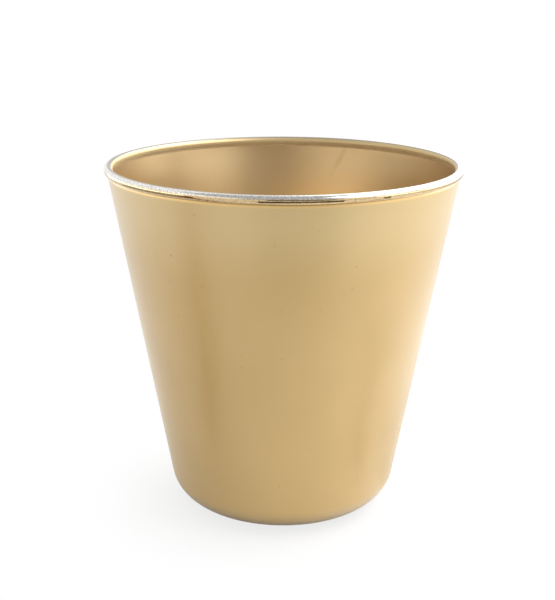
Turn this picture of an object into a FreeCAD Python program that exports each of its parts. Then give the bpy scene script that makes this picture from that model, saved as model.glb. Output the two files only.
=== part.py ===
import FreeCAD, Part
import math
import os
import Sketcher

# A tapered metal cachepot: one drawn sheet-metal shell with a rounded base
# corner and its edge rolled outward over a wire ring, standing on four small
# rubber pads. Millimetres, +Z up. The origin is the middle of the circle that
# the pads stand on, so a table top is the plane Z = 0.

doc = FreeCAD.newDocument("cachepot")
V = FreeCAD.Vector

# Driving dimensions. Every other length is worked out from these.
driving_sizes = {
    # whole pot
    "rim_diameter": 130.0,         # over the outside of the rolled rim
    "shell_height": 129.2,         # underside of the base to the top of the rim
    "base_diameter": 81.7,         # where the line of the wall meets the base
    "sheet_thickness": 0.6,
    # rolled rim
    "bead_diameter": 3.2,          # section of the finished roll
    "bead_overhang": 1.0,          # how far the roll stands out past the wall line
    "neck_radius": 1.0,            # inside of the bend between wall and roll
    "curl_gap": 0.15,              # cut edge of the roll to the neck behind it
    "wire_clearance": 0.05,        # rim wire to the inside of the roll
    "wire_butt_gap": 1.0,          # between the two ends of the rim wire
    # base
    "corner_radius": 13.0,         # outside of the bend between base and wall
    "panel_diameter": 30.0,        # raised flat in the middle of the base
    "panel_rise": 1.0,
    "step_radius": 1.5,            # inside of the two bends round the panel
    # rubber pads
    "pad_diameter": 9.5,
    "pad_height": 1.5,
    "pad_edge_radius": 0.5,
    "pad_circle_diameter": 46.0,   # circle through the middles of the pads
}
pad_count = 4
first_pad_angle = 45.0             # degrees round from +X
wire_butt_angle = 90.0             # the wire's ends meet at the back

sheet = doc.addObject("Spreadsheet::Sheet", "Sizes")
for row, (alias, value) in enumerate(driving_sizes.items(), start=1):
    sheet.set("A%d" % row, alias)
    sheet.set("B%d" % row, str(value))
    sheet.setAlias("B%d" % row, alias)
doc.recompute()


def new_body(label):
    body = doc.addObject("PartDesign::Body", label)
    body.Label = label
    return body


def new_sketch(body, name, role):
    planes = [o for o in body.Origin.OriginFeatures if o.Role == role]
    sketch = body.newObject("Sketcher::SketchObject", name)
    sketch.AttachmentSupport = (planes[0], [""])
    sketch.MapMode = "FlatFace"
    return sketch


def new_revolution(body, name, sketch):
    turned = body.newObject("PartDesign::Revolution", name)
    turned.Profile = sketch
    turned.ReferenceAxis = (sketch, ["V_Axis"])
    sketch.Visibility = False
    return turned


def line(start, end):
    return Part.LineSegment(start, end)


def arc(centre, radius, first_angle, last_angle):
    circle = Part.Circle(centre, V(0, 0, 1), radius)
    return Part.ArcOfCircle(circle, math.radians(first_angle), math.radians(last_angle))


def on_circle(centre, radius, degrees):
    angle = math.radians(degrees)
    return centre + V(radius * math.cos(angle), radius * math.sin(angle), 0)


# Places on a sketch element, and the sketch's own origin and upright axis.
START, END, CENTRE = 1, 2, 3
ORIGIN, UPRIGHT = -1, -2


def relate(sketch, kind, *places):
    sketch.addConstraint(Sketcher.Constraint(kind, *places))


def measure(sketch, name, expression, kind, *places):
    """Add a named dimension, the last of places being its value, and tie it to the sheet."""
    index = sketch.addConstraint(Sketcher.Constraint(kind, *places))
    sketch.renameConstraint(index, name)
    sketch.setExpression("Constraints." + name, expression)


def make_shell():
    """The sheet-metal shell, as one closed profile turned about the pot's axis."""
    s = driving_sizes
    thick = s["sheet_thickness"]
    rim_radius = s["rim_diameter"] / 2
    bead_radius = s["bead_diameter"] / 2
    neck, corner, step = s["neck_radius"], s["corner_radius"], s["step_radius"]
    base_z = s["pad_height"]
    panel_z = base_z + s["panel_rise"]

    # The wall's outer line, and the frame along and square to it.
    bead = V(rim_radius - bead_radius, base_z + s["shell_height"] - bead_radius, 0)
    wall_foot = V(s["base_diameter"] / 2, base_z, 0)
    wall_head = V(rim_radius - s["bead_overhang"], bead.y, 0)
    along = (wall_head - wall_foot).normalize()
    outward = V(along.y, -along.x, 0)
    lean = math.degrees(math.atan2(along.x, along.y))

    # The middles of the bends.
    corner_run = corner * (1 - along.x) / along.y
    corner_mid = wall_foot + along * corner_run - outward * corner
    bead_off = (bead - wall_foot).dot(outward) + neck + thick
    neck_to_bead = neck + bead_radius
    neck_run = (bead - wall_foot).dot(along) - math.sqrt(neck_to_bead ** 2 - bead_off ** 2)
    neck_mid = wall_foot + along * neck_run - outward * (neck + thick)
    step_turn = math.degrees(math.acos(1 - s["panel_rise"] / (2 * step + thick)))
    step_width = (2 * step + thick) * math.sin(math.radians(step_turn))
    panel_bend_mid = V(s["panel_diameter"] / 2, panel_z - step, 0)
    ring_bend_mid = panel_bend_mid + V(step_width, 2 * step + thick - s["panel_rise"], 0)

    # Where the neck runs into the roll, and where the roll's cut edge stops.
    to_bead = bead - neck_mid
    neck_end = math.degrees(math.atan2(to_bead.y, to_bead.x))
    reach = neck + thick + s["curl_gap"]
    spare = bead_radius ** 2 + neck_to_bead ** 2 - reach ** 2
    tuck = math.degrees(math.acos(spare / (2 * bead_radius * neck_to_bead)))
    curl_start, curl_end = neck_end - 180 + tuck, neck_end + 180

    body = new_body("pot_shell")
    sketch = new_sketch(body, "shell_profile", "XZ_Plane")
    outline = {
        "panel_under": line(V(0, panel_z, 0), V(panel_bend_mid.x, panel_z, 0)),
        "panel_bend_under": arc(panel_bend_mid, step, 90 - step_turn, 90),
        "ring_bend_under": arc(ring_bend_mid, step + thick, 270 - step_turn, 270),
        "ring_under": line(V(ring_bend_mid.x, base_z, 0), V(corner_mid.x, base_z, 0)),
        "corner_outside": arc(corner_mid, corner, -90, -lean),
        "wall_outside": line(on_circle(corner_mid, corner, -lean),
                             on_circle(neck_mid, neck + thick, -lean)),
        "neck_outside": arc(neck_mid, neck + thick, -lean, neck_end),
        "curl_inside": arc(bead, bead_radius - thick, curl_start, curl_end),
        "cut_edge": line(on_circle(bead, bead_radius - thick, curl_start),
                         on_circle(bead, bead_radius, curl_start)),
        "curl_outside": arc(bead, bead_radius, curl_start, curl_end),
        "neck_inside": arc(neck_mid, neck, -lean, neck_end),
        "wall_inside": line(on_circle(neck_mid, neck, -lean),
                            on_circle(corner_mid, corner - thick, -lean)),
        "corner_inside": arc(corner_mid, corner - thick, -90, -lean),
        "ring_top": line(V(corner_mid.x, base_z + thick, 0),
                         V(ring_bend_mid.x, base_z + thick, 0)),
        "ring_bend_top": arc(ring_bend_mid, step, 270 - step_turn, 270),
        "panel_bend_top": arc(panel_bend_mid, step + thick, 90 - step_turn, 90),
        "panel_top": line(V(panel_bend_mid.x, panel_z + thick, 0), V(0, panel_z + thick, 0)),
        "middle": line(V(0, panel_z + thick, 0), V(0, panel_z, 0)),
    }
    at = {name: sketch.addGeometry(shape, False) for name, shape in outline.items()}
    foot = sketch.addGeometry(Part.Point(wall_foot), True)
    head = sketch.addGeometry(Part.Point(wall_head), True)

    # Smooth joints between neighbours: element, end, element, end.
    smooth = [
        ("panel_under", END, "panel_bend_under", END),
        ("panel_bend_under", START, "ring_bend_under", START),
        ("ring_bend_under", END, "ring_under", START),
        ("ring_under", END, "corner_outside", START),
        ("corner_outside", END, "wall_outside", START),
        ("wall_outside", END, "neck_outside", START),
        ("neck_outside", END, "curl_inside", END),
        ("curl_outside", END, "neck_inside", END),
        ("neck_inside", START, "wall_inside", START),
        ("wall_inside", END, "corner_inside", END),
        ("corner_inside", START, "ring_top", START),
        ("ring_top", END, "ring_bend_top", END),
        ("ring_bend_top", START, "panel_bend_top", START),
        ("panel_bend_top", END, "panel_top", START),
    ]
    for first, first_end, second, second_end in smooth:
        relate(sketch, "Tangent", at[first], first_end, at[second], second_end)
    square = [
        ("curl_inside", START, "cut_edge", START),
        ("cut_edge", END, "curl_outside", START),
        ("panel_top", END, "middle", START),
        ("middle", END, "panel_under", START),
    ]
    for first, first_end, second, second_end in square:
        relate(sketch, "Coincident", at[first], first_end, at[second], second_end)
    one_middle = [
        ("panel_bend_under", "panel_bend_top"),
        ("ring_bend_under", "ring_bend_top"),
        ("corner_outside", "corner_inside"),
        ("neck_outside", "neck_inside"),
        ("curl_inside", "curl_outside"),
    ]
    for first, second in one_middle:
        relate(sketch, "Coincident", at[first], CENTRE, at[second], CENTRE)
    for name in ("panel_under", "ring_under", "panel_top"):
        relate(sketch, "Horizontal", at[name])
    for name in ("panel_under", "panel_top"):
        end = START if name == "panel_under" else END
        relate(sketch, "PointOnObject", at[name], end, UPRIGHT)
    relate(sketch, "PointOnObject", at["curl_outside"], CENTRE, at["cut_edge"])
    for point in (foot, head):
        relate(sketch, "PointOnObject", point, START, at["wall_outside"])

    # Heights.
    measure(sketch, "base_height", "Sizes.pad_height",
            "DistanceY", ORIGIN, START, at["ring_under"], START, base_z)
    measure(sketch, "panel_height", "Sizes.pad_height + Sizes.panel_rise",
            "DistanceY", ORIGIN, START, at["panel_under"], START, panel_z)
    measure(sketch, "foot_height", "Sizes.pad_height",
            "DistanceY", ORIGIN, START, foot, START, wall_foot.y)
    bead_height = "Sizes.pad_height + Sizes.shell_height - Sizes.bead_diameter / 2"
    measure(sketch, "bead_height", bead_height,
            "DistanceY", ORIGIN, START, at["curl_outside"], CENTRE, bead.y)
    measure(sketch, "head_height", bead_height,
            "DistanceY", ORIGIN, START, head, START, wall_head.y)
    # Distances from the axis.
    measure(sketch, "panel_radius", "Sizes.panel_diameter / 2",
            "DistanceX", ORIGIN, START, at["panel_under"], END, panel_bend_mid.x)
    measure(sketch, "foot_radius", "Sizes.base_diameter / 2",
            "DistanceX", ORIGIN, START, foot, START, wall_foot.x)
    measure(sketch, "head_radius", "Sizes.rim_diameter / 2 - Sizes.bead_overhang",
            "DistanceX", ORIGIN, START, head, START, wall_head.x)
    measure(sketch, "bead_middle_radius", "(Sizes.rim_diameter - Sizes.bead_diameter) / 2",
            "DistanceX", ORIGIN, START, at["curl_outside"], CENTRE, bead.x)
    # Bends.
    measure(sketch, "panel_bend_inner", "Sizes.step_radius",
            "Radius", at["panel_bend_under"], step)
    measure(sketch, "panel_bend_outer", "Sizes.step_radius + Sizes.sheet_thickness",
            "Radius", at["panel_bend_top"], step + thick)
    measure(sketch, "ring_bend_outer", "Sizes.step_radius + Sizes.sheet_thickness",
            "Radius", at["ring_bend_under"], step + thick)
    measure(sketch, "corner_outer", "Sizes.corner_radius",
            "Radius", at["corner_outside"], corner)
    measure(sketch, "corner_inner", "Sizes.corner_radius - Sizes.sheet_thickness",
            "Radius", at["corner_inside"], corner - thick)
    measure(sketch, "neck_outer", "Sizes.neck_radius + Sizes.sheet_thickness",
            "Radius", at["neck_outside"], neck + thick)
    measure(sketch, "curl_inner", "Sizes.bead_diameter / 2 - Sizes.sheet_thickness",
            "Radius", at["curl_inside"], bead_radius - thick)
    measure(sketch, "curl_outer", "Sizes.bead_diameter / 2",
            "Radius", at["curl_outside"], bead_radius)
    measure(sketch, "edge_reach", "Sizes.neck_radius + Sizes.sheet_thickness + Sizes.curl_gap",
            "Distance", at["neck_outside"], CENTRE, at["cut_edge"], END, reach)
    doc.recompute()
    print("shell profile: free dimensions", sketch.solve(), "redundant", sketch.RedundantConstraints)
    new_revolution(body, "shell_turned", sketch)
    return body


def make_rim_wire():
    """The round wire inside the rolled edge, bent to a ring with butted ends."""
    s = driving_sizes
    ring_radius = (s["rim_diameter"] - s["bead_diameter"]) / 2
    bead_z = s["pad_height"] + s["shell_height"] - s["bead_diameter"] / 2
    wire_radius = s["bead_diameter"] / 2 - s["sheet_thickness"] - s["wire_clearance"]
    body = new_body("rim_wire")
    body.Placement = FreeCAD.Placement(V(0, 0, 0), FreeCAD.Rotation(V(0, 0, 1), wire_butt_angle))
    sketch = new_sketch(body, "wire_section", "XZ_Plane")
    ring = sketch.addGeometry(Part.Circle(V(ring_radius, bead_z, 0), V(0, 0, 1), wire_radius), False)
    measure(sketch, "wire_radius",
            "Sizes.bead_diameter / 2 - Sizes.sheet_thickness - Sizes.wire_clearance",
            "Radius", ring, wire_radius)
    measure(sketch, "ring_radius", "(Sizes.rim_diameter - Sizes.bead_diameter) / 2",
            "DistanceX", ORIGIN, START, ring, CENTRE, ring_radius)
    measure(sketch, "wire_height",
            "Sizes.pad_height + Sizes.shell_height - Sizes.bead_diameter / 2",
            "DistanceY", ORIGIN, START, ring, CENTRE, bead_z)
    bent = new_revolution(body, "wire_bent", sketch)
    bent.setExpression(
        "Angle",
        "360 - 360 * Sizes.wire_butt_gap / (pi * (Sizes.rim_diameter - Sizes.bead_diameter))")
    return body


def make_pad(number):
    """A self-adhesive rubber pad, stuck under the flat ring of the base."""
    s = driving_sizes
    angle = first_pad_angle + (number - 1) * 360.0 / pad_count
    body = new_body("foot_pad_%d" % number)
    for axis, share in (("x", "cos"), ("y", "sin")):
        body.setExpression("Placement.Base." + axis,
                           "Sizes.pad_circle_diameter / 2 * %s(%g deg)" % (share, angle))
    sketch = new_sketch(body, "pad_outline_%d" % number, "XY_Plane")
    disc = sketch.addGeometry(Part.Circle(V(0, 0, 0), V(0, 0, 1), s["pad_diameter"] / 2), False)
    relate(sketch, "Coincident", disc, CENTRE, ORIGIN, START)
    measure(sketch, "pad_radius", "Sizes.pad_diameter / 2",
            "Radius", disc, s["pad_diameter"] / 2)
    block = body.newObject("PartDesign::Pad", "pad_block_%d" % number)
    block.Profile = sketch
    block.setExpression("Length", "Sizes.pad_height")
    sketch.Visibility = False
    doc.recompute()
    low = min(range(len(block.Shape.Edges)), key=lambda i: block.Shape.Edges[i].CenterOfMass.z)
    rounded = body.newObject("PartDesign::Fillet", "pad_rounding_%d" % number)
    rounded.Base = (block, ["Edge%d" % (low + 1)])
    rounded.setExpression("Radius", "Sizes.pad_edge_radius")
    return body


pieces = [make_shell(), make_rim_wire()]
pieces += [make_pad(number) for number in range(1, pad_count + 1)]
doc.recompute()

for item in doc.Objects:
    if "Invalid" in item.State or "Error" in item.State:
        raise RuntimeError("%s did not build: %s" % (item.Label, item.State))
os.makedirs("parts", exist_ok=True)
for piece in pieces:
    shape = piece.Shape
    if shape.isNull() or not shape.isValid() or len(shape.Solids) != 1:
        raise RuntimeError("%s is not one sound solid" % piece.Label)
    shape.exportStep("parts/%s.step" % piece.Label)
    box = shape.optimalBoundingBox()
    print("%s: volume %.1f, X %.2f to %.2f, Y %.2f to %.2f, Z %.2f to %.2f" % (
        piece.Label, shape.Volume, box.XMin, box.XMax, box.YMin, box.YMax, box.ZMin, box.ZMax))
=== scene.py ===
import math
import bpy
from mathutils import Matrix, Vector


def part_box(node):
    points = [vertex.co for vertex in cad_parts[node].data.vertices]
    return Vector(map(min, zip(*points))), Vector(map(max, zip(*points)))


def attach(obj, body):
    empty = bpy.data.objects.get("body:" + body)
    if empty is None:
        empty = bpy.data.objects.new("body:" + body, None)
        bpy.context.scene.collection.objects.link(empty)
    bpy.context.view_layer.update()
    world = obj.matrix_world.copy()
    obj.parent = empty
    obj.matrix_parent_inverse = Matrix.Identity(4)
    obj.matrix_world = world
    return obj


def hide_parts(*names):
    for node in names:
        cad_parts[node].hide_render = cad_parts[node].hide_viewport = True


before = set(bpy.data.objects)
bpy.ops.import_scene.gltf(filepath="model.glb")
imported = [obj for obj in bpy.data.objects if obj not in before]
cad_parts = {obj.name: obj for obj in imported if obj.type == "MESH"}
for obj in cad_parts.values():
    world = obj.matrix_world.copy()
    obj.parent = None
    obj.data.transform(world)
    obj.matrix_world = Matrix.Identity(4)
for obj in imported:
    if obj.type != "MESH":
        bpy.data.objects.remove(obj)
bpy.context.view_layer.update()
mm = 0.001
quarter = math.pi / 2
print("frame loaded, pieces:", sorted(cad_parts))


# A node's output, which can be used in sums and products like a number.
class Signal:
    def __init__(self, sheet, socket):
        self.sheet = sheet
        self.socket = socket

    def __add__(self, other):
        return self.sheet.maths("ADD", self, other)

    def __radd__(self, other):
        return self.sheet.maths("ADD", other, self)

    def __sub__(self, other):
        return self.sheet.maths("SUBTRACT", self, other)

    def __rsub__(self, other):
        return self.sheet.maths("SUBTRACT", other, self)

    def __mul__(self, other):
        return self.sheet.maths("MULTIPLY", self, other)

    def __rmul__(self, other):
        return self.sheet.maths("MULTIPLY", other, self)

    def __truediv__(self, other):
        return self.sheet.maths("DIVIDE", self, other)

    def __pow__(self, other):
        return self.sheet.maths("POWER", self, other)

    # 0 at low, 1 at high, smooth between; low may be the larger
    def fade(self, low, high):
        settings = {"interpolation_type": "SMOOTHSTEP"}
        return self.sheet.add("ShaderNodeMapRange", settings, {0: self, 1: low, 2: high})


# A node tree whose nodes are added by type, settings and inputs.
class NodeSheet:
    def __init__(self, tree):
        self.tree = tree

    def node(self, kind, settings=None, inputs=None):
        made = self.tree.nodes.new(kind)
        for name, value in (settings or {}).items():
            setattr(made, name, value)
        for key, value in (inputs or {}).items():
            if isinstance(value, Signal):
                self.tree.links.new(value.socket, made.inputs[key])
            else:
                made.inputs[key].default_value = value
        return made

    def add(self, kind, settings=None, inputs=None, output=0):
        return Signal(self, self.node(kind, settings, inputs).outputs[output])

    def maths(self, operation, *terms):
        return self.add("ShaderNodeMath", {"operation": operation}, dict(enumerate(terms)))

    # a mix of two colours, which have these numbers among the node's sockets
    def mix(self, factor, first, second):
        return self.add("ShaderNodeMix", {"data_type": "RGBA"}, {0: factor, 6: first, 7: second}, 2)

    def split(self, vector):
        made = self.node("ShaderNodeSeparateXYZ", {}, {0: vector})
        return [Signal(self, socket) for socket in made.outputs]

    def join(self, x, y, z):
        return self.add("ShaderNodeCombineXYZ", {}, {0: x, 1: y, 2: z})

    def noise(self, vector, scale, detail, roughness):
        values = {"Vector": vector, "Scale": scale, "Detail": detail, "Roughness": roughness}
        return self.add("ShaderNodeTexNoise", {}, values)

    def coordinates(self, kind):
        return self.add("ShaderNodeTexCoord", {}, {}, kind)

    def bump(self, height, strength, depth):
        return self.add("ShaderNodeBump", {}, {"Height": height, "Strength": strength, "Distance": depth})

    def given(self):
        made = self.node("NodeGroupInput")
        return {socket.name: Signal(self, socket) for socket in made.outputs if socket.name}

    def surface(self, shader):
        self.node("ShaderNodeOutputMaterial", {}, {"Surface": shader})


# A number, or a node's, that goes from first to second while the factor goes from 0 to 1.
def between(factor, first, second):
    return first + factor * (second - first)


def newMaterial(name):
    material = bpy.data.materials.new(name)
    material.use_nodes = True
    material.node_tree.nodes.clear()
    return material, NodeSheet(material.node_tree)


def newGeometryTree(name, inputs):
    tree = bpy.data.node_groups.new(name, "GeometryNodeTree")
    for label, kind in inputs.items():
        tree.interface.new_socket(label, in_out="INPUT", socket_type="NodeSocket" + kind)
    tree.interface.new_socket("Result", in_out="OUTPUT", socket_type="NodeSocketGeometry")
    return tree, NodeSheet(tree)


# Points along a bend from one angle to another, its two ends included.
def bend(centre, radius, first, last, steps):
    angles = [between(i / steps, first, last) for i in range(steps + 1)]
    return [(centre[0] + radius * math.cos(angle), centre[1] + radius * math.sin(angle))
            for angle in angles]


# Points between two ends, which are left out.
def straight(start, end, steps):
    shares = [i / steps for i in range(1, steps)]
    return [(between(share, start[0], end[0]), between(share, start[1], end[1])) for share in shares]


turned = {
    "weld": 0.0001 * mm,                # points this close become one, at the poles and the seam
    "dentDetail": (1.0, 0.5),           # of the dents' noise: its detail and roughness
}


# Turns an outline in the XZ plane about the Z axis: a grid with one row for each point.
def turningTree():
    tree, sheet = newGeometryTree("turned_outline", {
        "Outline": "Geometry", "Sections": "Int", "Dent Depth": "Float", "Dent Scale": "Float",
        "Dent Length": "Float", "Full Dent Radius": "Float", "Seed": "Float", "Sharp Angle": "Float",
        "Finish": "Material"})
    want = sheet.given()
    rows = sheet.add("GeometryNodeAttributeDomainSize", {"component": "MESH"}, {0: want["Outline"]})
    grid = sheet.add("GeometryNodeMeshGrid", {}, {
        "Size X": want["Sections"], "Size Y": rows - 1.0,
        "Vertices X": want["Sections"] + 1.0, "Vertices Y": rows})
    across, upwards, _ = sheet.split(sheet.add("GeometryNodeInputPosition"))
    row = sheet.maths("ROUND", upwards + (rows - 1.0) / 2.0)
    point = sheet.add("GeometryNodeSampleIndex", {"data_type": "FLOAT_VECTOR"}, {
        "Geometry": want["Outline"], "Value": sheet.add("GeometryNodeInputPosition"), "Index": row})
    radius, _, height = sheet.split(point)
    turn = (across / want["Sections"] + 0.5) * math.tau
    alongX = sheet.maths("COSINE", turn)
    alongY = sheet.maths("SINE", turn)

    # slight dents, always inwards and the same on both skins of the sheet
    spot = sheet.join(alongX, alongY, height / want["Dent Length"] + want["Seed"])
    depth = (sheet.noise(spot, want["Dent Scale"], *turned["dentDetail"]) * want["Dent Depth"]
             * radius.fade(0.0, want["Full Dent Radius"]))
    placed = sheet.add("GeometryNodeSetPosition", {}, {
        "Geometry": grid,
        "Position": sheet.join((radius - depth) * alongX, (radius - depth) * alongY, height)})
    closed = sheet.add("GeometryNodeMergeByDistance", {}, {"Geometry": placed, "Distance": turned["weld"]})
    crease = sheet.maths("GREATER_THAN", sheet.add("GeometryNodeInputMeshEdgeAngle"), want["Sharp Angle"])
    smooth = sheet.add("GeometryNodeSetShadeSmooth", {"domain": "FACE"}, {"Geometry": closed})
    creased = sheet.add("GeometryNodeSetShadeSmooth", {"domain": "EDGE"}, {
        "Geometry": smooth, "Selection": crease, "Shade Smooth": False})
    real = sheet.add("GeometryNodeRealizeInstances", {}, {0: creased})
    done = sheet.add("GeometryNodeSetMaterial", {}, {"Geometry": real, "Material": want["Finish"]})
    sheet.node("NodeGroupOutput", {}, {0: done})
    return tree


# Sets the same turned piece on a circle, evenly spaced.
def circleTree(turning):
    tree, sheet = newGeometryTree("turned_pieces_on_circle", {
        "Outline": "Geometry", "Count": "Int", "Circle Radius": "Float", "First Angle": "Float",
        "Sections": "Int", "Sharp Angle": "Float", "Finish": "Material"})
    want = sheet.given()
    piece = sheet.add("GeometryNodeGroup", {"node_tree": turning}, {
        "Outline": want["Outline"], "Sections": want["Sections"],
        "Sharp Angle": want["Sharp Angle"], "Finish": want["Finish"]})
    ring = sheet.add("GeometryNodeMeshCircle", {}, {
        "Vertices": want["Count"], "Radius": want["Circle Radius"]})
    placed = sheet.add("GeometryNodeTransform", {}, {
        "Geometry": ring, "Rotation": sheet.join(0.0, 0.0, want["First Angle"])})
    copies = sheet.add("GeometryNodeInstanceOnPoints", {}, {"Points": placed, "Instance": piece})
    real = sheet.add("GeometryNodeRealizeInstances", {}, {0: copies})
    done = sheet.add("GeometryNodeSetMaterial", {}, {"Geometry": real, "Material": want["Finish"]})
    sheet.node("NodeGroupOutput", {}, {0: done})
    return tree


# Runs a tree on an outline and keeps the result as a plain mesh.
def makeFromOutline(name, points, tree, values):
    mesh = bpy.data.meshes.new(name)
    mesh.from_pydata([(x, 0, z) for x, z in points], [(i, i + 1) for i in range(len(points) - 1)], [])
    made = bpy.data.objects.new(name, mesh)
    bpy.context.scene.collection.objects.link(made)
    modifier = made.modifiers.new("maker", "NODES")
    modifier.node_group = tree
    sockets = {item.name: item.identifier for item in tree.interface.items_tree
               if item.in_out == "INPUT"}
    for label, value in values.items():
        modifier[sockets[label]] = value
    bpy.context.view_layer.update()
    ready = made.evaluated_get(bpy.context.evaluated_depsgraph_get())
    finished = bpy.data.meshes.new_from_object(ready)
    finished.name = name
    made.modifiers.remove(modifier)
    made.data = finished
    print(name, "made:", len(finished.polygons), "faces")
    return made


# The sheet-metal shell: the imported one's section, more finely divided and with slight dents.
shellLow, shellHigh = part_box("pot_shell")
shell = {
    "rimRadius": shellHigh.x,
    "base": shellLow.z,
    "top": shellHigh.z,
    "footRadius": 40.85 * mm,           # where the wall's line meets the base
    "sheet": 0.6 * mm,
    "beadRadius": 1.6 * mm,             # of the roll round the rim
    "overhang": 1.0 * mm,               # how far the roll stands out from the wall's line
    "neck": 1.0 * mm,                   # inner radius of the bend from the wall into the roll
    "curlGap": 0.15 * mm,               # between the roll's cut edge and the neck
    "corner": 13.0 * mm,
    "panelRadius": 15.0 * mm,           # of the raised middle of the base
    "panelRise": 1.0 * mm,
    "step": 1.5 * mm,                   # inner radius of the two bends round that middle
    "sections": 320,                    # round the pot
    "wallRows": 24,
    "tightSteps": 6,                    # points round a bend's tighter skin at the raised middle
    "wideSteps": 8,                     # and round its wider one
    "neckSteps": 8,
    "cornerSteps": 28,
    "curlSteps": 24,                    # round the roll's hidden skin
    "rollSteps": 60,                    # and its outer one
    "dentDepth": 0.04 * mm,
    "dentScale": 1.3,
    "dentLength": 70 * mm,              # up the wall, what 1 radian is round it
    "fullDentRadius": 30 * mm,          # the dents fade out from here to the middle of the base
    "dentSeed": 3.0,
    "sharpAngle": math.radians(50),
}


def shellOutline():
    sheet, bead, neck = shell["sheet"], shell["beadRadius"], shell["neck"]
    corner, step = shell["corner"], shell["step"]
    beadMid = Vector((shell["rimRadius"] - bead, shell["top"] - bead))
    foot = Vector((shell["footRadius"], shell["base"]))
    head = Vector((shell["rimRadius"] - shell["overhang"], beadMid.y))
    along = (head - foot).normalized()
    outward = Vector((along.y, -along.x))
    lean = math.atan2(along.x, along.y)
    cornerMid = foot + along * corner * (1 - along.x) / along.y - outward * corner

    # the neck bends from the wall's line onto the roll's circle
    offset = (beadMid - foot).dot(outward) + neck + sheet
    reach = neck + bead
    neckMid = (foot - outward * (neck + sheet)
               + along * ((beadMid - foot).dot(along) - math.sqrt(reach ** 2 - offset ** 2)))
    neckEnd = math.atan2(beadMid.y - neckMid.y, beadMid.x - neckMid.x)

    # the roll goes on round until its cut edge is the gap away from the neck
    spare = bead ** 2 + reach ** 2 - (neck + sheet + shell["curlGap"]) ** 2
    cut = neckEnd - math.pi + math.acos(spare / (2 * bead * reach))

    # two bends of the same turn lift the middle of the base
    turn = math.acos(1 - shell["panelRise"] / (2 * step + sheet))
    panelMid = Vector((shell["panelRadius"], shell["base"] + shell["panelRise"] - step))
    ringMid = panelMid + Vector((math.sin(turn), math.cos(turn))) * (2 * step + sheet)

    # up the outside, from the middle of the base to the cut edge of the roll
    outside = [(0, shell["base"] + shell["panelRise"])]
    outside += bend(panelMid, step, quarter, quarter - turn, shell["tightSteps"])
    outside += bend(ringMid, step + sheet, -quarter - turn, -quarter, shell["wideSteps"])[1:]
    outside += bend(cornerMid, corner, -quarter, -lean, shell["cornerSteps"])
    wallTop = bend(neckMid, neck + sheet, -lean, neckEnd, shell["neckSteps"])
    outside += straight(outside[-1], wallTop[0], shell["wallRows"])
    outside += wallTop
    outside += bend(beadMid, bead - sheet, neckEnd + math.pi, cut, shell["curlSteps"])[1:]

    # back over the roll and down the inside
    inside = bend(beadMid, bead, cut, neckEnd + math.pi, shell["rollSteps"])
    inside += bend(neckMid, neck, neckEnd, -lean, shell["neckSteps"])[1:]
    floorBend = bend(cornerMid, corner - sheet, -lean, -quarter, shell["cornerSteps"])
    inside += straight(inside[-1], floorBend[0], shell["wallRows"])
    inside += floorBend
    inside += bend(ringMid, step, -quarter, -quarter - turn, shell["tightSteps"])
    inside += bend(panelMid, step + sheet, quarter - turn, quarter, shell["wideSteps"])[1:]
    inside += [(0, shell["base"] + shell["panelRise"] + sheet)]
    return outside + inside, beadMid


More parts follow.
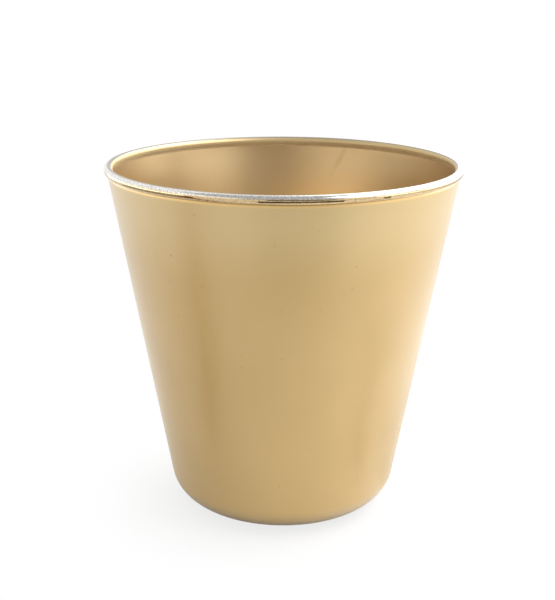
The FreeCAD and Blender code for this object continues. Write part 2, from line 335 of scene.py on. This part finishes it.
# Satin gold lacquer, glossier and a little paler inside, where it is thinner. The roll is burnished,
# and rubbed bare on top and on its outer shoulder. A pair of numbers is where something begins and
# where it is full. A noise has its patches to the metre, its detail and its roughness.
gold = {
    "skins": (-0.35, -0.65),                # from the outside to the inside, in thicknesses of the sheet
    "skinsByFacing": (1.0, 0.8),            # height over the base in radii of the corner, under which
    "facingUp": (-0.1, 0.1),                # the skin that faces up is the inside
    "grain": (2600.0, 2.0, 0.6),
    "grainRoughness": 0.05,
    "grainRelief": 0.3,
    "bumpStrength": 0.15,
    "bumpDepth": 0.05 * mm,
    "coat": 1.0,
    "coatRoughness": 0.30,

    "outside": (0.545, 0.367, 0.134, 1),
    "outsideDeep": (0.515, 0.345, 0.120, 1),
    "clouds": (30.0, 2.0, 0.5),             # between the plain colours and the deep ones
    "cloudDepth": (0.3, 0.7),
    "outsidePaintedHighlight": (0.590, 0.430, 0.190, 1),
    "paintedHighlightHeight": (96 * mm, 122 * mm),            # height above the table, over which the wall turns paler: a painted highlight
    "outsidePaintedBounce": (0.76, 0.51, 0.18, 1),
    "paintedBounceHeight": (-1.3 * mm, -0.52 * mm),        # height over the foot of the roll, of a warm band just under it: painted light bounced from the roll
    "outsidePaintedShade": (0.28, 0.180, 0.062, 1),
    "low": (9.0 * mm, 0.0),                 # height over the base, where the wall turns under and is painted darker: painted shade
    "outsideMetal": 0.40,
    "outsideRoughness": 0.42,
    "inside": (0.58, 0.415, 0.205, 1),
    "insideDeep": (0.56, 0.395, 0.19, 1),
    "insideMetal": 0.95,
    "insideRoughness": 0.34,

    "darkStreak": (0.50, 0.345, 0.16, 1),       # a faint, darker slanting streak on the inner wall
    "darkStreakTop": (25.6 * mm, 127 * mm),
    "darkStreakEnd": (22.0 * mm, 120 * mm),
    "darkStreakWidth": (1.6 * mm, 0.32 * mm),   # to each side of its middle
    "darkStreakFoot": (-4 * mm, 2 * mm),        # height over its lower end
    "darkStreakBehind": (0.0, 10 * mm),         # at the back only
    "pit": (0.27, 0.17, 0.07, 1),           # small specks in the lacquer, most of them faint
    "pitSpacing": 9 * mm,
    "pitRadius": (0.60 * mm, 0.30 * mm),    # of the largest
    "pitSmallest": 0.4,                     # as a share of the largest
    "pitRarity": 3.0,
    "pitStrength": 0.4,

    "roll": (1.10, 1.02),                   # how far the roll's finish goes from its middle, in its radii
    "speckle": (1900.0, 3.0, 0.7),
    "rim": (0.66, 0.50, 0.29, 1),
    "rimFleck": (0.30, 0.20, 0.07, 1),
    "flecks": (0.50, 0.62),
    "fleckStrength": 0.7,
    "rimRoughness": 0.10,
    "bareMiddle": math.radians(75),         # round the roll, from level outwards
    "bareHalf": math.radians(59),
    "bareEdge": (-0.06, 0.10),              # added to the cosine of the half angle
    "bareRagged": 0.5,                      # how far the specks break that edge
    "bare": (0.95, 0.93, 0.89, 1),
    "bareDull": (0.68, 0.65, 0.60, 1),
    "brightSpecks": (0.40, 0.58),
    "bareTopPaintedGrey": (0.32, 0.29, 0.235, 1),      # on top, before the shoulder: darker, painted shade for the grey that the top of the roll reflects
    "bareShoulder": (0.05, 0.40),           # cosines of the angle round the roll
    "bareRoughness": 0.16,

    "paintedReflection": (0.09, 0.065, 0.028, 1),     # a thin dark line low on the roll, in broken lengths: a painted reflection
    "paintedReflectionTop": (-0.06, -0.12),           # sines of the angle round the roll
    "paintedReflectionFoot": (-0.48, -0.42),
    "paintedReflectionOuter": (0.0, 0.3 * mm),        # on the roll's outer side only
    "paintedReflectionLeast": 0.65,                   # its strength between the specks
    "paintedReflectionSpecks": (0.35, 0.55),
    "paintedReflectionSoft": 0.6,                     # degrees at the ends of an arc
    "paintedReflectionArcs": [(5, 12.3, 1.0), (-41, 15, 0.75), (30.5, 1.4, 1.0), (78, 9, 0.6), (116, 13, 0.8),
                    (151, 6, 0.7), (-97, 8, 0.7), (-128, 12, 0.8), (-163, 7, 0.9)],

    "innerRoll": (0.65, 0.50, 0.265, 1),    # the roll's side towards the inside, with its lacquer
    "underRollPaintedLight": (1.0, 0.84, 0.55, 1),      # and just below it, paler: painted light against the shade under the roll
    "underRollPaintedLightHeight": (-0.3 * mm, -1.2 * mm),
    "innerRollReach": (2.5 * mm, 1.75 * mm),
    "innerRollEdge": (0.0, -0.55 * mm),     # from the roll's middle towards the inside
    "innerRollTop": (0.0, 0.6 * mm),        # above the roll's middle the edge moves in by the shift
    "innerRollShift": 0.75 * mm,
    "innerRollMetal": 0.65,
    "underRollMetal": 0.15,
    "innerRollMetalHeight": (-0.5 * mm, 0.3 * mm),
    "innerRollRoughness": 0.42,
}


# Where a point of the shell lies: on which skin, how far up, and how it lies round the roll.
class ShellPlace:
    def __init__(self, sheet, beadMid):
        self.here = sheet.coordinates("Object")
        self.x, self.y, self.z = sheet.split(self.here)
        self.azimuth = sheet.maths("ARCTAN2", self.x, 0.0 - self.y)
        self.rollFoot = beadMid.y - shell["beadRadius"]
        fromAxis = (self.x * self.x + self.y * self.y) ** 0.5
        self.out = fromAxis - beadMid.x
        self.up = self.z - beadMid.y
        self.fromBead = (self.out * self.out + self.up * self.up) ** 0.5
        self.outShare = self.out / self.fromBead
        self.upShare = self.up / self.fromBead
        self.onRoll = (self.fromBead / shell["beadRadius"]).fade(*gold["roll"])

        # which skin of the sheet: by the wall's line, and near the base by which way it faces
        runOut = beadMid.x + shell["beadRadius"] - shell["overhang"] - shell["footRadius"]
        lean = math.atan2(runOut, beadMid.y - shell["base"])
        offWall = ((fromAxis - shell["footRadius"]) * math.cos(lean)
                   - (self.z - shell["base"]) * math.sin(lean))
        _, _, facingUp = sheet.split(sheet.coordinates("Normal"))
        nearBase = ((self.z - shell["base"]) / shell["corner"]).fade(*gold["skinsByFacing"])
        self.inside = between(nearBase, (offWall / shell["sheet"]).fade(*gold["skins"]),
                              facingUp.fade(*gold["facingUp"]))

        # the worn stripe round the roll, with a broken edge
        self.speckle = sheet.noise(self.here, *gold["speckle"])
        facing = (self.outShare * math.cos(gold["bareMiddle"])
                  + self.upShare * math.sin(gold["bareMiddle"]))
        ragged = facing - math.cos(gold["bareHalf"]) + (self.speckle - 0.5) * gold["bareRagged"]
        self.worn = ragged.fade(*gold["bareEdge"]) * self.onRoll

        # the roll's side towards the inside, with what lies just below it
        edge = self.out + self.up.fade(*gold["innerRollTop"]) * gold["innerRollShift"]
        self.innerRoll = (self.fromBead.fade(*gold["innerRollReach"])
                          * edge.fade(*gold["innerRollEdge"]))


def darkStreakMask(sheet, at):
    (topX, topZ), (endX, endZ) = gold["darkStreakTop"], gold["darkStreakEnd"]
    slant = (topX - endX) / (topZ - endZ)
    aside = sheet.maths("ABSOLUTE", at.x - topX - (at.z - topZ) * slant)
    return (aside.fade(*gold["darkStreakWidth"]) * at.y.fade(*gold["darkStreakBehind"])
            * (at.z - endZ).fade(*gold["darkStreakFoot"]))


# One speck at most in each cell of a net that is laid round the wall.
def pitMask(sheet, at):
    cells = sheet.node("ShaderNodeTexVoronoi", {"voronoi_dimensions": "2D"}, {
        "Vector": sheet.join(at.azimuth * shell["footRadius"], at.z, 0.0),
        "Scale": 1 / gold["pitSpacing"]})
    away = Signal(sheet, cells.outputs["Distance"]) * gold["pitSpacing"]
    chance, size, _ = sheet.split(Signal(sheet, cells.outputs["Color"]))
    spots = (away / between(size, gold["pitSmallest"], 1.0)).fade(*gold["pitRadius"])
    return spots * chance ** gold["pitRarity"] * gold["pitStrength"]


def wallColour(sheet, at):
    clouds = sheet.noise(at.here, *gold["clouds"]).fade(*gold["cloudDepth"])
    outside = sheet.mix(clouds, gold["outside"], gold["outsideDeep"])
    # painted highlight: the outer wall turns paler towards its top
    outside = sheet.mix(at.z.fade(*gold["paintedHighlightHeight"]), outside, gold["outsidePaintedHighlight"])
    # painted light: a warm band just under the roll, as if bounced from it
    outside = sheet.mix((at.z - at.rollFoot).fade(*gold["paintedBounceHeight"]), outside, gold["outsidePaintedBounce"])
    # painted shade: the outer wall darker towards the base, where it turns under
    outside = sheet.mix((at.z - shell["base"]).fade(*gold["low"]), outside, gold["outsidePaintedShade"])
    inside = sheet.mix(clouds, gold["inside"], gold["insideDeep"])
    inside = sheet.mix(darkStreakMask(sheet, at), inside, gold["darkStreak"])
    return sheet.mix(pitMask(sheet, at), sheet.mix(at.inside, outside, inside), gold["pit"])


# Arcs of the painted dark reflection on the roll: degrees from straight in front to the right, half width,
# strength.
def paintedReflectionMask(sheet, at):
    arcs = 0.0
    for middle, half, strength in gold["paintedReflectionArcs"]:
        away = sheet.maths("ABSOLUTE", at.azimuth - math.radians(middle))
        full = math.radians(half - gold["paintedReflectionSoft"])
        arcs = arcs + away.fade(math.radians(half), full) * strength
    broken = between(at.speckle.fade(*gold["paintedReflectionSpecks"]), gold["paintedReflectionLeast"], 1.0)
    return (arcs * at.upShare.fade(*gold["paintedReflectionTop"]) * at.upShare.fade(*gold["paintedReflectionFoot"])
            * at.out.fade(*gold["paintedReflectionOuter"]) * at.onRoll * broken)


def rollColour(sheet, at):
    flecks = at.speckle.fade(*gold["flecks"]) * gold["fleckStrength"]
    gilt = sheet.mix(flecks, gold["rim"], gold["rimFleck"])
    bare = sheet.mix(at.speckle.fade(*gold["brightSpecks"]), gold["bareDull"], gold["bare"])
    # painted shade: the bare metal darker on top of the roll than on its shoulder
    bare = sheet.mix(at.outShare.fade(*gold["bareShoulder"]), gold["bareTopPaintedGrey"], bare)
    # painted reflection: the thin dark line low on the roll
    return sheet.mix(paintedReflectionMask(sheet, at), sheet.mix(at.worn, gilt, bare), gold["paintedReflection"])


def potFinish(beadMid):
    material, sheet = newMaterial("satin_gold")
    at = ShellPlace(sheet, beadMid)
    # painted light: just below the roll the colour turns paler, against the shade there
    innerColour = sheet.mix(at.up.fade(*gold["underRollPaintedLightHeight"]), gold["innerRoll"], gold["underRollPaintedLight"])
    colour = sheet.mix(at.onRoll, wallColour(sheet, at), rollColour(sheet, at))
    grain = sheet.noise(at.here, *gold["grain"])
    satin = (between(at.inside, gold["outsideRoughness"], gold["insideRoughness"])
             + (grain - 0.5) * gold["grainRoughness"])
    glossy = between(at.worn, gold["rimRoughness"], gold["bareRoughness"])
    wallMetal = between(at.inside, gold["outsideMetal"], gold["insideMetal"])
    innerMetal = between(at.up.fade(*gold["innerRollMetalHeight"]),
                         gold["underRollMetal"], gold["innerRollMetal"])
    relief = grain * gold["grainRelief"] + at.worn * at.speckle
    sheet.surface(sheet.add("ShaderNodeBsdfPrincipled", {}, {
        "Base Color": sheet.mix(at.innerRoll, colour, innerColour),
        "Metallic": between(at.innerRoll, between(at.onRoll, wallMetal, 1.0), innerMetal),
        "Roughness": between(at.innerRoll, between(at.onRoll, satin, glossy), gold["innerRollRoughness"]),
        "Coat Weight": (1.0 - at.onRoll) * gold["coat"], "Coat Roughness": gold["coatRoughness"],
        "Normal": sheet.bump(relief, gold["bumpStrength"], gold["bumpDepth"])}))
    return material


turning = turningTree()
shellPoints, beadPlace = shellOutline()
potBody = makeFromOutline("pot_body", shellPoints, turning, {
    "Sections": shell["sections"], "Dent Depth": shell["dentDepth"], "Dent Scale": shell["dentScale"],
    "Dent Length": shell["dentLength"], "Full Dent Radius": shell["fullDentRadius"],
    "Seed": shell["dentSeed"], "Sharp Angle": shell["sharpAngle"], "Finish": potFinish(beadPlace)})
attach(potBody, "root")
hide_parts("pot_shell")

# Four stick-on pads, moulded with a soft lower edge.
padLow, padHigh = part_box("foot_pad_1")
padMiddle = (padLow + padHigh) / 2
pads = {
    "count": 4,
    "circleRadius": math.hypot(padMiddle.x, padMiddle.y),
    "firstAngle": math.atan2(padMiddle.y, padMiddle.x),
    "radius": (padHigh.x - padLow.x) / 2,
    "height": padHigh.z,
    "edge": 0.5 * mm,
    "sections": 64,
    "underSteps": 4,
    "edgeSteps": 8,
    "sideSteps": 3,
    "sharpAngle": math.radians(50),
    "rubber": (0.60, 0.59, 0.55, 1),
    "rubberDull": (0.50, 0.49, 0.45, 1),
    "cloud": (260.0, 3.0, 0.6),         # each noise: patches to the metre, detail, roughness
    "cloudDepth": (0.35, 0.65),
    "grain": (3500.0, 2.0, 0.6),
    "roughness": 0.45,
    "roughnessSpread": 0.2,
    "bumpStrength": 0.2,
    "bumpDepth": 0.05 * mm,
}


def padOutline():
    radius, height, edge = pads["radius"], pads["height"], pads["edge"]
    rounding = bend((radius - edge, edge), edge, -quarter, 0, pads["edgeSteps"])
    under = straight((0, 0), rounding[0], pads["underSteps"])
    side = straight(rounding[-1], (radius, height), pads["sideSteps"])
    return [(0, 0)] + under + rounding + side + [(radius, height), (0, height)]


def rubberFinish():
    material, sheet = newMaterial("cloudy_rubber")
    here = sheet.coordinates("Object")
    cloud = sheet.noise(here, *pads["cloud"])
    grain = sheet.noise(here, *pads["grain"])
    sheet.surface(sheet.add("ShaderNodeBsdfPrincipled", {}, {
        "Base Color": sheet.mix(cloud.fade(*pads["cloudDepth"]), pads["rubber"], pads["rubberDull"]),
        "Roughness": pads["roughness"] + (cloud - 0.5) * pads["roughnessSpread"],
        "Normal": sheet.bump(grain, pads["bumpStrength"], pads["bumpDepth"])}))
    return material


footPads = makeFromOutline("foot_pads", padOutline(), circleTree(turning), {
    "Count": pads["count"], "Circle Radius": pads["circleRadius"],
    "First Angle": pads["firstAngle"], "Sections": pads["sections"],
    "Sharp Angle": pads["sharpAngle"], "Finish": rubberFinish()})
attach(footPads, "root")
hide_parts("foot_pad_1", "foot_pad_2", "foot_pad_3", "foot_pad_4")

# The wire inside the roll keeps its own mesh.
wire = {
    "zinc": (0.58, 0.58, 0.60, 1),
    "dull": (0.40, 0.40, 0.42, 1),
    "bloom": (300.0, 4.0, 0.6),         # a noise: patches to the metre, detail, roughness
    "bloomDepth": (0.35, 0.7),
    "roughness": 0.38,
    "roughnessSpread": 0.2,
    "bumpStrength": 0.15,
    "bumpDepth": 0.1 * mm,
}


def wireFinish():
    material, sheet = newMaterial("zinc_plated_wire")
    bloom = sheet.noise(sheet.coordinates("Object"), *wire["bloom"])
    sheet.surface(sheet.add("ShaderNodeBsdfPrincipled", {}, {
        "Base Color": sheet.mix(bloom.fade(*wire["bloomDepth"]), wire["zinc"], wire["dull"]),
        "Metallic": 1.0, "Roughness": wire["roughness"] + (bloom - 0.5) * wire["roughnessSpread"],
        "Normal": sheet.bump(bloom, wire["bumpStrength"], wire["bumpDepth"])}))
    return material


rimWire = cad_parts["rim_wire"]
rimWire.data.materials.clear()
rimWire.data.materials.append(wireFinish())
print("finishes set")

# A white table that runs on into a white room. It stays white to the camera and in reflections,
# and round the pot both take in its real light, with the pot's shadow.
room = {
    "white": (1, 1, 1, 1),
    "tableHalf": 4.0,
    "tableColour": (0.74, 0.74, 0.74, 1),
    "shadowShare": 0.22,                # of the real light in what the camera sees, right under the pot
    "shadowReach": (80 * mm, 30 * mm),
    "reflectedShare": 0.85,             # of the real light in what the metal reflects, near the pot
    "reflectedReach": (400 * mm, 110 * mm),
    "roomLight": 0.70,
    "ceilingLight": 0.48,               # seen in reflections, above and behind the camera
    "ceilingPlace": (0, -0.50, 0.87),
    "ceilingEdge": (0.55, 0.80),        # cosines of the angle to that place
}


# 1 for rays of the kinds that are named, 0 for others.
def rays(sheet, *names):
    path = sheet.node("ShaderNodeLightPath")
    seen = [Signal(sheet, path.outputs["Is %s Ray" % name]) for name in names]
    return seen[0] if len(seen) == 1 else sheet.maths("MAXIMUM", *seen)


# A flat panel of the scene, which isn't part of the pot.
def makePanel(name, corners, material):
    mesh = bpy.data.meshes.new(name)
    mesh.from_pydata(corners, [], [(0, 1, 2, 3)])
    mesh.materials.append(material)
    made = bpy.data.objects.new(name, mesh)
    bpy.context.scene.collection.objects.link(made)
    return made


def makeTable():
    material, sheet = newMaterial("white_table")
    x, y, _ = sheet.split(sheet.coordinates("Object"))
    away = (x * x + y * y) ** 0.5
    shadow = away.fade(*room["shadowReach"]) * room["shadowShare"]
    reflected = away.fade(*room["reflectedReach"]) * room["reflectedShare"]
    plain = (rays(sheet, "Camera") * (1.0 - shadow)
             + rays(sheet, "Glossy", "Transmission") * (1.0 - reflected))
    matt = sheet.add("ShaderNodeBsdfDiffuse", {}, {"Color": room["tableColour"]})
    lit = sheet.add("ShaderNodeEmission", {}, {"Color": room["white"], "Strength": 1.0})
    sheet.surface(sheet.add("ShaderNodeMixShader", {}, {0: plain, 1: matt, 2: lit}))
    half = room["tableHalf"]
    makePanel("table", [(-half, -half, 0), (half, -half, 0), (half, half, 0), (-half, half, 0)], material)


def makeRoom():
    world = bpy.data.worlds.new("white_room")
    world.use_nodes = True
    world.node_tree.nodes.clear()
    sheet = NodeSheet(world.node_tree)
    ceiling = sheet.add("ShaderNodeVectorMath", {"operation": "DOT_PRODUCT"},
                        {0: sheet.coordinates("Generated"), 1: room["ceilingPlace"]}, "Value")
    reflected = rays(sheet, "Glossy", "Transmission")
    seen = rays(sheet, "Camera") + reflected
    level = (between(seen, room["roomLight"], 1.0)
             - ceiling.fade(*room["ceilingEdge"]) * reflected * (1.0 - room["ceilingLight"]))
    light = sheet.add("ShaderNodeBackground", {}, {"Color": room["white"], "Strength": level})
    sheet.node("ShaderNodeOutputWorld", {}, {"Surface": light})
    bpy.context.scene.world = world


# Softboxes at the right, behind it and at the left. Cards that only reflections show lie on the table,
# and a dark one stands behind the camera.
lamps = {
    "aim": (0, 0, 70 * mm),
    "boxes": {      # compass angle from straight in front to the right, distance, height, size, brightness
        "right_box": (84, 0.62, 0.75, (1.0, 0.5), 5.0),
        "back_low_box": (135, 0.62, 0.30, (1.0, 0.5), 1.4),
        "back_box": (135, 0.62, 0.75, (1.0, 0.5), 2.1),
        "right_mid_box": (58, 0.62, 0.32, (0.5, 0.4), 0.38),
        "right_low_box": (95, 0.62, 0.09, (1.0, 0.16), 1.7),
        "left_mid_box": (-48, 0.62, 0.32, (0.5, 0.4), 0.26),
        "left_box": (-100, 0.62, 0.09, (1.0, 0.16), 1.8),
    },
    "cardLift": 1 * mm,
    "tableCards": {     # colour and four corners
        "front_card": ((0.28, 0.28, 0.28, 1),
                       [(-0.09, -0.34), (0.24, -0.32), (0.115, -0.165), (-0.05, -0.18)]),
        "left_card": ((0.34, 0.17, 0.08, 1),
                      [(-0.074, -0.051), (-0.066, -0.066), (-0.454, -0.322), (-0.506, -0.222)]),
        "right_card": ((0.42, 0.41, 0.38, 1),
                       [(0.056, -0.048), (0.145, -0.080), (0.155, -0.046), (0.060, -0.032)]),
        "right_back_card": ((0.54, 0.54, 0.54, 1),
                            [(0.045, -0.01), (0.105, -0.02), (0.115, 0.13), (0.045, 0.11)]),
    },
    "wallCard": {"colour": (0.10, 0.10, 0.10, 1), "left": -0.16, "right": 0.55, "behind": 0.92, "top": 0.30},
}


def makeBox(name, compass, distance, height, size, brightness):
    light = bpy.data.lights.new(name, "AREA")
    light.shape = "RECTANGLE"
    light.size, light.size_y = size
    light.energy = brightness * math.pi * size[0] * size[1]
    made = bpy.data.objects.new(name, light)
    angle = math.radians(compass)
    made.location = (distance * math.sin(angle), -distance * math.cos(angle), height)
    made.rotation_euler = (Vector(lamps["aim"]) - made.location).to_track_quat("-Z", "Y").to_euler()
    made.visible_camera = False
    bpy.context.scene.collection.objects.link(made)


def makeCard(name, colour, corners):
    material, sheet = newMaterial(name)
    sheet.surface(sheet.add("ShaderNodeBsdfDiffuse", {}, {"Color": colour}))
    made = makePanel(name, corners, material)
    made.visible_camera = False
    made.visible_diffuse = False
    made.visible_shadow = False


def makeWallCard(colour, left, right, behind, top):
    makeCard("back_wall_card", colour, [(left, -behind, 0), (right, -behind, 0),
                                        (right, -behind, top), (left, -behind, top)])


makeTable()
makeRoom()
for name, values in lamps["boxes"].items():
    makeBox(name, *values)
for name, (colour, corners) in lamps["tableCards"].items():
    makeCard(name, colour, [(x, y, lamps["cardLift"]) for x, y in corners])
makeWallCard(**lamps["wallCard"])
print("room and lamps set")

# The viewpoint, from the outlines of rim, wall and base in a picture of 555 by 600.
view = {
    "distance": 409.5 * mm,
    "height": 197.1 * mm,               # over the underside of the shell
    "pitch": 0.2860,
    "yaw": -0.0051,
    "roll": 0.0038,
    "focalPixels": 1132.3,
    "pixelsHigh": 600,
    "nearest": 10 * mm,
}


def makeCamera():
    camera = bpy.data.cameras.new("camera")
    camera.lens = view["focalPixels"] * camera.sensor_width / view["pixelsHigh"]
    camera.clip_start = view["nearest"]
    pitch, yaw, roll = view["pitch"], view["yaw"], view["roll"]
    forward = Vector((math.sin(yaw) * math.cos(pitch), math.cos(yaw) * math.cos(pitch), -math.sin(pitch)))
    right = Vector((math.cos(yaw), -math.sin(yaw), 0))
    up = right.cross(forward)
    rolledRight = math.cos(roll) * right + math.sin(roll) * up
    rolledUp = math.cos(roll) * up - math.sin(roll) * right
    turnedBy = Matrix((rolledRight, rolledUp, -forward)).transposed().to_4x4()
    made = bpy.data.objects.new("camera", camera)
    made.matrix_world = Matrix.Translation((0, -view["distance"], view["height"] + shell["base"])) @ turnedBy
    bpy.context.scene.collection.objects.link(made)
    bpy.context.scene.camera = made


makeCamera()
bpy.context.scene.view_settings.view_transform = "Standard"
